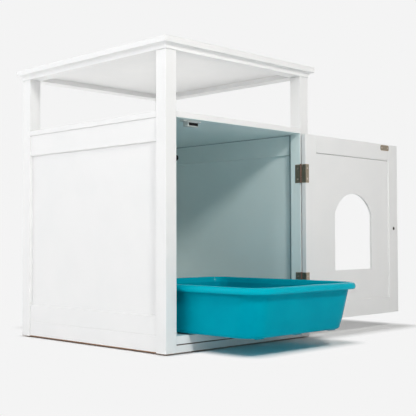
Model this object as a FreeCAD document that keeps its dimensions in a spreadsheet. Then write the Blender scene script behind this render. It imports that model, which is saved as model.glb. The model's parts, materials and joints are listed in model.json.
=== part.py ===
import FreeCAD, Part
import math
import os
import re
import Sketcher

# Litter box enclosure: a painted cabinet on four posts with an open bay under its top, framed
# side panels, a hinged front door with an arched cat opening, and a moulded litter pan.
# Millimetres. The origin is on the floor at the middle of the posts' footprint, with +X to the
# right, +Y to the back and +Z up. The door is folded right open and the pan is pulled part out.

SIZES = {
    # carcase: posts, levels and the boards between them
    "cabinet_width": 454.5,
    "cabinet_depth": 508,
    "post_size": 29.5,
    "glide_height": 2.2,
    "glide_diameter": 18,
    "glide_rim": 16,
    "nail_diameter": 2,
    "nail_length": 14,
    "base_height": 34.6,
    "compartment_height": 439.2,
    "shelf_thickness": 12,
    "bay_height": 123,
    "floor_thickness": 17.5,
    "edge_setback": 0.6,
    "edge_ease": 0.8,
    # sides and back: rails tongued into the posts, thin panels in grooves
    "rail_thickness": 16,
    "rail_setback": 3,
    "top_rail_height": 48,
    "bottom_rail_height": 40,
    "panel_thickness": 5.4,
    "groove_depth": 6,
    "groove_fit": 0.1,
    "tongue_gap": 0.2,
    "floor_tongue": 6,
    # top and its moulding
    "top_overhang": 12,
    "top_thickness": 13,
    "top_round": 2,
    "moulding_height": 11,
    "moulding_step": 2,
    "moulding_width": 32,
    "cove_radius": 6,
    # dowels and cam fittings
    "dowel_diameter": 8,
    "dowel_fit": 0.05,
    "dowel_in_post": 20,
    "dowel_in_board": 8,
    "cam_diameter": 15,
    "cam_depth": 12.5,
    "cam_slot_width": 1.6,
    "cam_slot_depth": 2,
    "cam_drop": 27,
    "cam_inset": 44.5,
    "cam_bolt_diameter": 6,
    # door: frame, panel and its arched opening
    "door_thickness": 12,
    "door_gap_hinge": 2.2,
    "door_gap_latch": 1.75,
    "door_gap_top": 2,
    "door_gap_bottom": 1.8,
    "door_frame_width": 41,
    "door_panel_thickness": 5,
    "door_open_angle": 180.5,
    "arch_width": 156,
    "arch_side_height": 138.5,
    "arch_rise": 49.8,
    "arch_sill": 116.7,
    # hinges
    "hinge_height": 43,
    "hinge_spread": 251.4,
    "hinge_offset": 1.8,
    "leaf_thickness": 0.9,
    "leaf_width": 15,
    "wrap_width": 11,
    "barrel_radius": 1.75,
    "pin_radius": 1,
    "pin_fit": 0.06,
    "pin_head": 0.8,
    "knuckle_gap": 0.35,
    # screws
    "screw_diameter": 2.6,
    "screw_head_diameter": 5.6,
    "screw_head_height": 1.4,
    "screw_length": 9,
    "screw_fit": 0.06,
    "hinge_screw_spread": 25,
    # knob, strike plate and magnetic catch
    "knob_diameter": 27,
    "knob_bevel_diameter": 20,
    "knob_face_diameter": 8,
    "knob_neck_diameter": 13,
    "knob_foot_diameter": 17,
    "knob_foot_height": 2,
    "knob_foot_taper": 3,
    "knob_neck_length": 4,
    "knob_flare_height": 6,
    "knob_rim_height": 3.5,
    "knob_bevel_height": 3.5,
    "knob_crown_height": 2,
    "knob_screw_diameter": 4,
    "knob_screw_depth": 12,
    "knob_screw_head_diameter": 8.5,
    "knob_screw_head_height": 1.8,
    "knob_screw_crown_diameter": 6,
    "strike_width": 38,
    "strike_height": 14,
    "strike_thickness": 1.2,
    "strike_drop": 2,
    "strike_screw_spread": 26,
    "catch_inset": 59.5,
    "catch_width": 30,
    "catch_depth": 15,
    "catch_height": 13,
    "catch_ear": 10.5,
    "catch_ear_thickness": 3,
    "catch_wall": 2,
    "catch_gap": 0.6,
    "magnet_height": 6,
    "magnet_proud": 0.8,
    "magnet_fit": 0.1,
    # litter pan
    "pan_left_room": 12.75,
    "pan_right_room": 38.75,
    "pan_end_room": 37,
    "pan_corner": 52,
    "pan_height": 98.9,
    "pan_lip_width": 12,
    "pan_lip_drop": 13,
    "pan_lip_round": 8,
    "pan_lip_wall": 3.4,
    "pan_wall": 2.4,
    "pan_side_taper": 4,
    "pan_end_taper": 22,
    "pan_base_corner": 44,
    "pan_base_round": 7,
    "pan_foot_height": 2.2,
    "pan_foot_length": 24,
    "pan_foot_width": 10,
    "pan_foot_inset_x": 42,
    "pan_foot_inset_y": 15,
    "pan_floor_gap": 0.3,
    "pan_pulled_out": 205,
}

# Places that several pieces share, each worked out from the sizes above.
PLACES = {
    "half_width": "cabinet_width / 2",
    "half_depth": "cabinet_depth / 2",
    "post_face_x": "half_width - post_size",
    "post_face_y": "half_depth - post_size",
    "floor_top": "glide_height + base_height",
    "floor_bottom": "floor_top - floor_thickness",
    "bottom_rail_top": "floor_top + bottom_rail_height",
    "shelf_bottom": "floor_top + compartment_height",
    "top_rail_bottom": "shelf_bottom - top_rail_height",
    "shelf_top": "shelf_bottom + shelf_thickness",
    "post_top": "shelf_top + bay_height",
    "moulding_top": "post_top + moulding_height",
    "rail_outer_x": "half_width - rail_setback",
    "rail_inner_x": "rail_outer_x - rail_thickness",
    "rail_middle_x": "rail_outer_x - rail_thickness / 2",
    "rail_outer_y": "half_depth - rail_setback",
    "rail_inner_y": "rail_outer_y - rail_thickness",
    "rail_middle_y": "rail_outer_y - rail_thickness / 2",
    "front_rail_y": "edge_setback - half_depth",
    "front_rail_middle_y": "front_rail_y + rail_thickness / 2",
    "tongue": "groove_depth - tongue_gap",
    "groove_half": "panel_thickness / 2 + groove_fit",
    "moulding_proud": "moulding_step + cove_radius",
    "moulding_inner": "moulding_width - moulding_step",
    "dowel_radius": "dowel_diameter / 2",
    "post_middle_x": "half_width - post_size / 2",
    "post_middle_y": "half_depth - post_size / 2",
    "cam_y": "post_face_y - cam_inset",
    "cam_level": "shelf_bottom - cam_drop",
    "door_front": "-half_depth",
    "door_back": "door_thickness - half_depth",
    "door_hinge_edge": "post_face_x - door_gap_hinge",
    "door_latch_edge": "door_gap_latch - post_face_x",
    "door_bottom": "floor_top + door_gap_bottom",
    "door_top": "shelf_bottom - door_gap_top",
    "door_middle_x": "(door_hinge_edge + door_latch_edge) / 2",
    "door_middle_y": "(door_front + door_back) / 2",
    "door_middle_z": "(door_bottom + door_top) / 2",
    "door_groove_half": "door_panel_thickness / 2 + groove_fit",
    "arch_radius": "arch_width * arch_width / (8 * arch_rise) + arch_rise / 2",
    "hinge_x": "post_face_x - door_gap_hinge / 2",
    "hinge_y": "-half_depth - hinge_offset",
    "upper_hinge_level": "door_middle_z + hinge_spread / 2 - hinge_height / 2",
    "lower_hinge_level": "door_middle_z - hinge_spread / 2 - hinge_height / 2",
    "knuckle_length": "hinge_height / 3",
    "barrel_clear": "barrel_radius + knuckle_gap",
    "screw_radius": "screw_diameter / 2",
    "knob_x": "door_latch_edge + door_frame_width / 2",
    "knob_neck_end": "knob_foot_height + knob_foot_taper + knob_neck_length",
    "knob_flare_end": "knob_neck_end + knob_flare_height",
    "knob_rim_end": "knob_flare_end + knob_rim_height",
    "knob_bevel_end": "knob_rim_end + knob_bevel_height",
    "knob_crown_end": "knob_bevel_end + knob_crown_height",
    "knob_screw_radius": "knob_screw_diameter / 2",
    "strike_x": "door_latch_edge + catch_inset",
    "strike_top": "door_top - strike_drop",
    "strike_level": "strike_top - strike_height / 2",
    "catch_front": "door_back + strike_thickness + catch_gap + magnet_proud",
    "catch_middle_y": "catch_front + catch_depth / 2",
    "catch_bottom": "shelf_bottom - catch_height",
    "catch_screw_x": "catch_width / 2 + catch_ear / 2",
    "magnet_half": "catch_width / 2 - catch_wall",
    "magnet_level": "catch_bottom + catch_wall",
    "pan_half_width": "post_face_x - (pan_left_room + pan_right_room) / 2",
    "pan_half_length": "(rail_inner_y - door_back - pan_end_room) / 2",
    "pan_middle_x": "(pan_left_room - pan_right_room) / 2",
    "pan_middle_y": "pan_half_length - half_depth - pan_pulled_out",
    "pan_foot_bottom": "floor_top + pan_floor_gap",
    "pan_base": "pan_foot_bottom + pan_foot_height",
    "pan_rim": "pan_base + pan_height",
    "pan_mouth_x": "pan_half_width - pan_lip_width",
    "pan_mouth_y": "pan_half_length - pan_lip_width",
    "pan_mouth_corner": "pan_corner - pan_lip_width",
    "pan_base_x": "pan_mouth_x - pan_side_taper",
    "pan_base_y": "pan_mouth_y - pan_end_taper",
    "pan_foot_x": "pan_base_x - pan_foot_inset_x",
    "pan_foot_y": "pan_base_y - pan_foot_inset_y",
    "lip_groove_x": "pan_half_width - pan_lip_wall",
    "lip_groove_y": "pan_half_length - pan_lip_wall",
    "lip_groove_corner": "pan_corner - pan_lip_wall",
}

doc = FreeCAD.newDocument("LitterBoxEnclosure")
sheet = doc.addObject("Spreadsheet::Sheet", "Sizes")
for row, (alias, size) in enumerate(SIZES.items(), start=1):
    sheet.set(f"A{row}", alias)
    sheet.set(f"B{row}", str(size))
    sheet.setAlias(f"B{row}", alias)
doc.recompute()

pieces = []
ALONG_X = FreeCAD.Rotation(FreeCAD.Vector(0, 1, 0), 90)
ALONG_Y = FreeCAD.Rotation(FreeCAD.Vector(1, 0, 0), -90)
ALONG_Z = FreeCAD.Rotation()
FACING_LEFT = FreeCAD.Rotation(FreeCAD.Vector(0, 1, 0), -90)
FACING_FRONT = FreeCAD.Rotation(FreeCAD.Vector(1, 0, 0), 90)
FACING_DOWN = FreeCAD.Rotation(FreeCAD.Vector(1, 0, 0), 180)
SWING = (
    "create(<<placement>>; create(<<vector>>; 0; 0; 0);"
    " create(<<rotation>>; create(<<vector>>; 0; 0; 1); door_open_angle);"
    " create(<<vector>>; hinge_x; hinge_y; 0))"
)


def formula(text):
    """A formula in sizes and places, spelled out in the sheet's cells."""
    def spell(match):
        word = match.group(0)
        if word in PLACES:
            return "(" + formula(PLACES[word]) + ")"
        if word in SIZES:
            return "Sizes." + word
        return word
    return re.sub(r"[A-Za-z_]\w*", spell, text)


def number(text):
    """The present value of a formula."""
    return float(sheet.evalExpression(formula(text)))


def bind(thing, **formulas):
    """Bind plain properties to formulas."""
    for name, text in formulas.items():
        thing.setExpression(name, formula(text))


def place(thing, x, y, z, rotation=ALONG_Z, offset="Placement"):
    """Set a turn and bind the position to formulas."""
    setattr(thing, offset, FreeCAD.Placement(FreeCAD.Vector(), rotation))
    for axis, text in zip("xyz", (x, y, z)):
        thing.setExpression(f"{offset}.Base.{axis}", formula(text))


def new_body(label):
    """A sub-part that is worked from one blank."""
    body = doc.addObject("PartDesign::Body", label)
    body.Label = label
    pieces.append(body)
    return body


def on_door(piece):
    """Carry a piece of the door from its closed place to its open one."""
    piece.setExpression("Placement", formula(SWING))
    return piece


def box(body, low, high, kind="Additive"):
    """A box between two corners, added to a body or cut from it."""
    feature = body.newObject(f"PartDesign::{kind}Box", f"{body.Name}_{kind.lower()}_box")
    sides = [f"({upper}) - ({lower})" for lower, upper in zip(low, high)]
    bind(feature, Length=sides[0], Width=sides[1], Height=sides[2])
    place(feature, *low)
    doc.recompute()
    return feature


def cut_box(body, low, high):
    """A groove, notch or slot."""
    return box(body, low, high, kind="Subtractive")


def cylinder(body, start, radius, length, rotation=ALONG_Z, kind="Additive"):
    """A round boss or bore that runs from its start point."""
    feature = body.newObject(f"PartDesign::{kind}Cylinder", f"{body.Name}_{kind.lower()}_cylinder")
    bind(feature, Radius=radius, Height=length)
    place(feature, *start, rotation=rotation)
    doc.recompute()
    return feature


def bore(body, start, radius, length, rotation=ALONG_Z):
    """A round hole."""
    return cylinder(body, start, radius, length, rotation, kind="Subtractive")


def ease_edges(body, size="edge_ease", kind="Chamfer"):
    """Break every edge of the blank."""
    blank = body.Tip
    feature = body.newObject(f"PartDesign::{kind}", f"{body.Name}_eased")
    feature.Base = (blank, ["Edge1"])
    feature.UseAllEdges = True
    bind(feature, **{"Size" if kind == "Chamfer" else "Radius": size})
    doc.recompute()
    return feature


def board(label, low, high):
    """A board with eased edges."""
    body = new_body(label)
    box(body, low, high)
    ease_edges(body)
    return body


def new_sketch(body, plane, x="0", y="0", z="0"):
    """A sketch on one of the body's own planes, moved within it by x and y and off it by z."""
    sketch = body.newObject("Sketcher::SketchObject", f"{body.Name}_sketch")
    support = next(entry for entry in body.Origin.OriginFeatures if entry.Role == plane)
    sketch.AttachmentSupport = [(support, "")]
    sketch.MapMode = "FlatFace"
    place(sketch, x, y, z, offset="AttachmentOffset")
    return sketch


def trace(sketch, path):
    """Draw a closed outline through dimensioned corners.

    A corner is (x, y), with a straight run to the next one, or (x, y, radius, turn), with an arc
    to the next one that turns left (1) or right (-1)."""
    spots = [FreeCAD.Vector(number(corner[0]), number(corner[1]), 0) for corner in path]
    runs = []
    for index, corner in enumerate(path):
        begin = spots[index]
        end = spots[(index + 1) % len(spots)]
        if len(corner) == 2:
            runs.append((sketch.addGeometry(Part.LineSegment(begin, end)), 1, 2))
            continue
        radius = number(corner[2])
        chord = end - begin
        rise = math.sqrt(radius ** 2 - (chord.Length / 2) ** 2)
        across = FreeCAD.Vector(-chord.y, chord.x, 0).normalize() * rise * corner[3]
        centre = (begin + end) * 0.5 + across
        first, last = (begin, end) if corner[3] > 0 else (end, begin)
        angles = [math.atan2(spot.y - centre.y, spot.x - centre.x) for spot in (first, last)]
        circle = Part.Circle(centre, FreeCAD.Vector(0, 0, 1), radius)
        arc = sketch.addGeometry(Part.ArcOfCircle(circle, angles[0], angles[1]))
        runs.append((arc, 1, 2) if corner[3] > 0 else (arc, 2, 1))
    for index, corner in enumerate(path):
        geometry, start, finish = runs[index]
        following, next_start, _ = runs[(index + 1) % len(runs)]
        sketch.addConstraint(Sketcher.Constraint("Coincident", geometry, finish, following, next_start))
        for kind, text, spot in (("X", corner[0], spots[index].x), ("Y", corner[1], spots[index].y)):
            rule = Sketcher.Constraint(f"Distance{kind}", -1, 1, geometry, start, spot)
            name = f"corner_{geometry}_{kind.lower()}"
            sketch.renameConstraint(sketch.addConstraint(rule), name)
            sketch.setExpression(f"Constraints.{name}", formula(text))
        if len(corner) == 4:
            rule = Sketcher.Constraint("Radius", geometry, number(corner[2]))
            name = f"corner_{geometry}_radius"
            sketch.renameConstraint(sketch.addConstraint(rule), name)
            sketch.setExpression(f"Constraints.{name}", formula(corner[2]))
    doc.recompute()
    return sketch


def rounded(half_x, half_y, radius):
    """A rectangle about the origin with rounded corners, as an outline for trace."""
    near_x = f"({half_x}) - ({radius})"
    near_y = f"({half_y}) - ({radius})"
    return [
        (near_x, f"-({half_y})", radius, 1),
        (half_x, f"-({near_y})"),
        (half_x, near_y, radius, 1),
        (near_x, half_y),
        (f"-({near_x})", half_y, radius, 1),
        (f"-({half_x})", near_y),
        (f"-({half_x})", f"-({near_y})", radius, 1),
        (f"-({near_x})", f"-({half_y})"),
    ]


def pad(body, sketch, length, middle=False):
    """Thicken an outline off its sketch, or to both sides of it."""
    feature = body.newObject("PartDesign::Pad", f"{body.Name}_pad")
    feature.Profile = sketch
    feature.Midplane = middle
    bind(feature, Length=length)
    doc.recompute()
    return feature


def pocket(body, sketch, length, upward=True):
    """Cut an outline into the body, up or down from its sketch, and check that it took material away."""
    before = body.Shape.Volume
    feature = body.newObject("PartDesign::Pocket", f"{body.Name}_pocket")
    feature.Profile = sketch
    feature.Reversed = upward
    bind(feature, Length=length)
    doc.recompute()
    if body.Shape.Volume >= before:
        raise ValueError(f"{feature.Name} cuts nothing")
    return feature


def revolve(body, sketch):
    """Turn an outline about its sketch's upright axis."""
    feature = body.newObject("PartDesign::Revolution", f"{body.Name}_turned")
    feature.Profile = sketch
    feature.ReferenceAxis = (sketch, ["V_Axis"])
    feature.Angle = 360
    doc.recompute()
    return feature


def loft(body, outlines, kind="Additive"):
    """Run a wall or a hollow straight from each outline to the next."""
    feature = body.newObject(f"PartDesign::{kind}Loft", f"{body.Name}_{kind.lower()}_loft")
    feature.Profile = outlines[0]
    feature.Sections = outlines[1:]
    feature.Ruled = True
    doc.recompute()
    return feature


def solid(kind, name, x, y, z, rotation=ALONG_Z, **formulas):
    """A loose primitive for a fastener."""
    feature = doc.addObject(f"Part::{kind}", name)
    bind(feature, **formulas)
    place(feature, x, y, z, rotation)
    return feature


def group(label, members):
    """Like pieces that share one sub-part, each still a solid of its own."""
    compound = doc.addObject("Part::Compound", label)
    compound.Label = label
    compound.Links = members
    pieces.append(compound)
    return compound


def screw(name, x, y, z, rotation, shank, length, head, height):
    """A flat-headed screw whose head stands with its top face at the given point."""
    neck = solid("Cylinder", f"{name}_shank", "0", "0", f"-({length})", Radius=shank,
                 Height=f"({length}) - ({height}) / 2")
    cap = solid("Cone", f"{name}_head", "0", "0", f"-({height})", Radius1=shank, Radius2=head, Height=height)
    whole = doc.addObject("Part::MultiFuse", name)
    whole.Shapes = [neck, cap]
    place(whole, x, y, z, rotation)
    return whole


def pilot(body, x, y, z, rotation, shank="screw_radius", length="screw_length"):
    """The hole that a screw from the same point turns into."""
    hole = bore(body, ("0", "0", "0"), f"{shank} + screw_fit", f"{length} + screw_fit", rotation)
    place(hole, x, y, z, rotation)
    doc.recompute()
    return hole


def countersink(body, x, y, z, rotation, shank="screw_radius", head="screw_head_diameter / 2",
                height="screw_head_height"):
    """The tapered seat of a screw's head."""
    seat = body.newObject("PartDesign::SubtractiveCone", f"{body.Name}_seat")
    bind(seat, Radius1=f"{head} + screw_fit", Radius2=f"{shank} + screw_fit", Height=f"{height}")
    place(seat, x, y, z, rotation)
    doc.recompute()
    return seat


# Posts: square, full height under the moulding, grooved for the tongues of rails and panels.
def make_post(label, side, end):
    post = board(
        label,
        (f"{side} * post_middle_x - post_size / 2", f"{end} * post_middle_y - post_size / 2", "glide_height"),
        (f"{side} * post_middle_x + post_size / 2", f"{end} * post_middle_y + post_size / 2", "post_top"),
    )
    near = f"{end} * (post_face_y + groove_depth / 2)"
    cut_box(
        post,
        (f"{side} * rail_middle_x - groove_half", f"{near} - groove_depth / 2", "glide_height - edge_ease"),
        (f"{side} * rail_middle_x + groove_half", f"{near} + groove_depth / 2", "shelf_bottom"),
    )
    middle = f"{side} * (post_face_x + groove_depth / 2)"
    line = "rail_middle_y" if end > 0 else "front_rail_middle_y"
    level = "shelf_bottom" if end > 0 else "floor_bottom"
    cut_box(
        post,
        (f"{middle} - groove_depth / 2", f"{line} - groove_half", "glide_height - edge_ease"),
        (f"{middle} + groove_depth / 2", f"{line} + groove_half", level),
    )
    centre = (f"{side} * post_middle_x", f"{end} * post_middle_y")
    bore(post, (*centre, "post_top - dowel_in_post - dowel_fit"), "dowel_radius + dowel_fit",
         "dowel_in_post + 2 * dowel_fit")
    bore(post, (*centre, "glide_height"), "nail_diameter / 2 + dowel_fit", "nail_length + dowel_fit")
    return post


CORNERS = [("front_left", -1, -1), ("front_right", 1, -1), ("rear_left", -1, 1), ("rear_right", 1, 1)]
for corner, side, end in CORNERS:
    make_post(f"{corner}_post", side, end)

# Glides: a low plastic button with a nail, driven into the foot of each post.
glides = []
for corner, side, end in CORNERS:
    centre = (f"{side} * post_middle_x", f"{end} * post_middle_y")
    button = solid("Cone", f"{corner}_button", *centre, "0", Radius1="glide_rim / 2",
                   Radius2="glide_diameter / 2", Height="glide_height")
    nail = solid("Cylinder", f"{corner}_nail", *centre, "glide_height / 2", Radius="nail_diameter / 2",
                 Height="glide_height / 2 + nail_length")
    glide = doc.addObject("Part::MultiFuse", f"{corner}_glide")
    glide.Shapes = [button, nail]
    glides.append(glide)
group("foot_glides", glides)


# Side rails: set back from the posts' faces, with a stub tongue at each end.
def make_side_rail(label, side, bottom, top):
    rail = board(
        label,
        (f"{side} * rail_middle_x - rail_thickness / 2", "-post_face_y", bottom),
        (f"{side} * rail_middle_x + rail_thickness / 2", "post_face_y", top),
    )
    box(
        rail,
        (f"{side} * rail_middle_x - panel_thickness / 2", "-post_face_y - tongue", bottom),
        (f"{side} * rail_middle_x + panel_thickness / 2", "post_face_y + tongue", top),
    )
    return rail


def cut_side_groove(rail, side, bottom, top):
    """The groove along a side rail that holds the panel's edge."""
    cut_box(
        rail,
        (f"{side} * rail_middle_x - groove_half", "-half_depth", bottom),
        (f"{side} * rail_middle_x + groove_half", "half_depth", top),
    )


for hand, side in (("left", -1), ("right", 1)):
    top_rail = make_side_rail(f"{hand}_top_rail", side, "top_rail_bottom", "shelf_bottom")
    cut_side_groove(top_rail, side, "top_rail_bottom - edge_ease", "top_rail_bottom + groove_depth")
    cam_face = f"{side} * rail_inner_x"
    bore(top_rail, (cam_face, "cam_y", "cam_level"), "cam_diameter / 2 + dowel_fit", "cam_depth + dowel_fit",
         ALONG_X if side > 0 else FACING_LEFT)
    bore(top_rail, (f"{side} * rail_middle_x", "cam_y", "cam_level"), "cam_bolt_diameter / 2 + dowel_fit",
         "cam_drop + edge_ease")
    bore(top_rail, (f"{side} * rail_middle_x", "-cam_y", "shelf_bottom - dowel_in_post - dowel_fit"),
         "dowel_radius + dowel_fit", "dowel_in_post + edge_ease")
    bottom_rail = make_side_rail(f"{hand}_bottom_rail", side, "floor_top", "bottom_rail_top")
    cut_side_groove(bottom_rail, side, "bottom_rail_top - groove_depth", "bottom_rail_top + edge_ease")
    base_rail = make_side_rail(f"{hand}_base_rail", side, "glide_height", "floor_top")
    groove_x = f"{side} * (rail_inner_x + groove_depth / 2)"
    floor_middle = "(floor_top + floor_bottom) / 2"
    cut_box(
        base_rail,
        (f"{groove_x} - groove_depth / 2", "-post_face_y", f"{floor_middle} - floor_tongue / 2 - groove_fit"),
        (f"{groove_x} + groove_depth / 2", "post_face_y", f"{floor_middle} + floor_tongue / 2 + groove_fit"),
    )
    panel = new_body(f"{hand}_side_panel")
    box(
        panel,
        (f"{side} * rail_middle_x - panel_thickness / 2", "-post_face_y - tongue", "bottom_rail_top - tongue"),
        (f"{side} * rail_middle_x + panel_thickness / 2", "post_face_y + tongue", "top_rail_bottom + tongue"),
    )


# Cross rails: the same stock across the back, and one low rail under the floor's front edge.
def make_cross_rail(label, line, bottom, top):
    rail = board(
        label,
        ("-post_face_x", f"{line} - rail_thickness / 2", bottom),
        ("post_face_x", f"{line} + rail_thickness / 2", top),
    )
    box(
        rail,
        ("-post_face_x - tongue", f"{line} - panel_thickness / 2", bottom),
        ("post_face_x + tongue", f"{line} + panel_thickness / 2", top),
    )
    return rail


def cut_back_groove(rail, bottom, top):
    """The groove along a back rail that holds the panel's edge."""
    cut_box(
        rail,
        ("-half_width", "rail_middle_y - groove_half", bottom),
        ("half_width", "rail_middle_y + groove_half", top),
    )


rear_top_rail = make_cross_rail("rear_top_rail", "rail_middle_y", "top_rail_bottom", "shelf_bottom")
cut_back_groove(rear_top_rail, "top_rail_bottom - edge_ease", "top_rail_bottom + groove_depth")
rear_base_rail = make_cross_rail("rear_base_rail", "rail_middle_y", "glide_height", "floor_top")
cut_back_groove(rear_base_rail, "floor_top - groove_depth", "floor_top + edge_ease")
make_cross_rail("front_base_rail", "front_rail_middle_y", "glide_height", "floor_bottom")
back_panel = new_body("back_panel")
box(
    back_panel,
    ("-post_face_x - tongue", "rail_middle_y - panel_thickness / 2", "floor_top - tongue"),
    ("post_face_x + tongue", "rail_middle_y + panel_thickness / 2", "top_rail_bottom + tongue"),
)


def notch_corners(body, reach_x, reach_y, bottom, top):
    """Cut a board's corners out to pass round the posts."""
    for corner, side, end in CORNERS:
        middle_x = f"{side} * (post_face_x - tongue_gap + {reach_x}) / 2"
        middle_y = f"{end} * (post_face_y - tongue_gap + {reach_y}) / 2"
        half_x = f"({reach_x} - post_face_x + tongue_gap) / 2"
        half_y = f"({reach_y} - post_face_y + tongue_gap) / 2"
        cut_box(
            body,
            (f"{middle_x} - {half_x}", f"{middle_y} - {half_y}", bottom),
            (f"{middle_x} + {half_x}", f"{middle_y} + {half_y}", top),
        )


# Floor board: tongued into the base rails at the sides, its front edge in view over the front rail.
floor_board = board(
    "floor_board",
    ("tongue_gap - rail_inner_x", "front_rail_y", "floor_bottom"),
    ("rail_inner_x - tongue_gap", "rail_inner_y - tongue_gap", "floor_top"),
)
box(
    floor_board,
    ("-rail_inner_x - tongue", "-post_face_y", "(floor_top + floor_bottom - floor_tongue) / 2"),
    ("rail_inner_x + tongue", "post_face_y", "(floor_top + floor_bottom + floor_tongue) / 2"),
)
notch_corners(floor_board, "half_width", "half_depth", "floor_bottom", "floor_top")

# Shelf board: rests on the side and back rails, flush with the posts all round.
shelf_board = board(
    "shelf_board",
    ("edge_setback - half_width", "edge_setback - half_depth", "shelf_bottom"),
    ("half_width - edge_setback", "half_depth - edge_setback", "shelf_top"),
)
notch_corners(shelf_board, "half_width", "half_depth", "shelf_bottom", "shelf_top")
for side in (-1, 1):
    for line, radius in (("cam_y", "cam_bolt_diameter / 2"), ("-cam_y", "dowel_radius")):
        bore(shelf_board, (f"{side} * rail_middle_x", line, "shelf_bottom - edge_ease"),
             f"{radius} + dowel_fit", "dowel_in_board + dowel_fit + edge_ease")

# Cam fittings at the rear of the shelf, with plain dowels at its front.
cams = []
bolts = []
shelf_dowels = []
for hand, side in (("left", -1), ("right", 1)):
    drum = solid("Cylinder", f"{hand}_cam_drum", f"{side} * rail_inner_x", "cam_y", "cam_level",
                 ALONG_X if side > 0 else FACING_LEFT, Radius="cam_diameter / 2", Height="cam_depth")
    slot = solid("Box", f"{hand}_cam_slot", f"{side} * rail_inner_x - cam_slot_depth",
                 "cam_y - cam_diameter / 2", "cam_level - cam_slot_width / 2",
                 Length="2 * cam_slot_depth", Width="cam_diameter", Height="cam_slot_width")
    cam = doc.addObject("Part::Cut", f"{hand}_cam")
    cam.Base = drum
    cam.Tool = slot
    cams.append(cam)
    bolts.append(solid(
        "Cylinder", f"{hand}_cam_bolt", f"{side} * rail_middle_x", "cam_y",
        "cam_level + cam_diameter / 2 + 2 * dowel_fit", Radius="cam_bolt_diameter / 2",
        Height="cam_drop - cam_diameter / 2 + dowel_in_board - 2 * dowel_fit"))
    shelf_dowels.append(solid(
        "Cylinder", f"{hand}_shelf_dowel", f"{side} * rail_middle_x", "-cam_y", "shelf_bottom - dowel_in_post",
        Radius="dowel_radius", Height="dowel_in_post + dowel_in_board"))
group("cam_locks", cams)
group("cam_bolts", bolts)
group("shelf_dowels", shelf_dowels)


# Moulding under the top: a coved strip along each edge, mitred at the corners over the posts.
def make_moulding(label, half_length, x, y, turn):
    strip = new_body(label)
    section = trace(new_sketch(strip, "YZ_Plane"), [
        ("-moulding_step", "post_top"),
        ("moulding_inner", "post_top"),
        ("moulding_inner", "moulding_top"),
        ("-moulding_proud", "moulding_top", "cove_radius", -1),
        ("-moulding_step", "moulding_top - cove_radius"),
    ])
    pad(strip, section, f"2 * ({half_length} + moulding_proud)", middle=True)
    for end in (-1, 1):
        mitre = trace(new_sketch(strip, "XY_Plane", z="post_top"), [
            (f"{end} * ({half_length} + moulding_proud)", "-moulding_proud"),
            (f"{end} * ({half_length} + moulding_proud)", "moulding_inner"),
            (f"{end} * ({half_length} - moulding_inner)", "moulding_inner"),
        ])
        pocket(strip, mitre, "moulding_height")
        bore(strip, (f"{end} * ({half_length} - post_size / 2)", "post_size / 2", "post_top"),
             "dowel_radius + dowel_fit", "moulding_height")
    place(strip, x, y, "0", FreeCAD.Rotation(FreeCAD.Vector(0, 0, 1), turn))
    return strip


make_moulding("top_moulding_front", "half_width", "0", "-half_depth", 0)
make_moulding("top_moulding_rear", "half_width", "0", "half_depth", 180)
make_moulding("top_moulding_left", "half_depth", "-half_width", "0", -90)
make_moulding("top_moulding_right", "half_depth", "half_width", "0", 90)

# Top board: overhangs the moulding, with softly rounded edges, on a dowel over each post.
top_board = new_body("top_board")
box(
    top_board,
    ("-half_width - top_overhang", "-half_depth - top_overhang", "moulding_top"),
    ("half_width + top_overhang", "half_depth + top_overhang", "moulding_top + top_thickness"),
)
ease_edges(top_board, "top_round", "Fillet")
top_dowels = []
for corner, side, end in CORNERS:
    centre = (f"{side} * post_middle_x", f"{end} * post_middle_y")
    bore(top_board, (*centre, "moulding_top"), "dowel_radius + dowel_fit", "dowel_in_board + dowel_fit")
    top_dowels.append(solid("Cylinder", f"{corner}_top_dowel", *centre, "post_top - dowel_in_post",
                            Radius="dowel_radius", Height="dowel_in_post + moulding_height + dowel_in_board"))
group("top_dowels", top_dowels)


# Door frame: two full-height stiles, with two rails tongued between them and the panel in grooves.
def make_stile(label, outer, inner, groove_low, groove_high):
    stile = board(label, (outer, "door_front", "door_bottom"), (inner, "door_back", "door_top"))
    cut_box(
        stile,
        (groove_low, "door_middle_y - door_groove_half", "door_bottom"),
        (groove_high, "door_middle_y + door_groove_half", "door_top"),
    )
    return on_door(stile)


latch_inner = "door_latch_edge + door_frame_width"
hinge_inner = "door_hinge_edge - door_frame_width"
latch_stile = make_stile("door_latch_stile", "door_latch_edge", latch_inner,
                         f"{latch_inner} - groove_depth", latch_inner)
hinge_stile = make_stile("door_hinge_stile", hinge_inner, "door_hinge_edge",
                         hinge_inner, f"{hinge_inner} + groove_depth")


def make_door_rail(label, bottom, top, groove_low, groove_high):
    rail = board(label, (latch_inner, "door_front", bottom), (hinge_inner, "door_back", top))
    box(
        rail,
        (f"{latch_inner} - tongue", "door_middle_y - door_panel_thickness / 2", bottom),
        (f"{hinge_inner} + tongue", "door_middle_y + door_panel_thickness / 2", top),
    )
    cut_box(
        rail,
        ("door_latch_edge", "door_middle_y - door_groove_half", groove_low),
        ("door_hinge_edge", "door_middle_y + door_groove_half", groove_high),
    )
    return on_door(rail)


lower_rail_top = "door_bottom + door_frame_width"
upper_rail_bottom = "door_top - door_frame_width"
make_door_rail("door_bottom_rail", "door_bottom", lower_rail_top,
               f"{lower_rail_top} - groove_depth", f"{lower_rail_top} + edge_ease")
make_door_rail("door_top_rail", upper_rail_bottom, "door_top",
               f"{upper_rail_bottom} - edge_ease", f"{upper_rail_bottom} + groove_depth")

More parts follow.
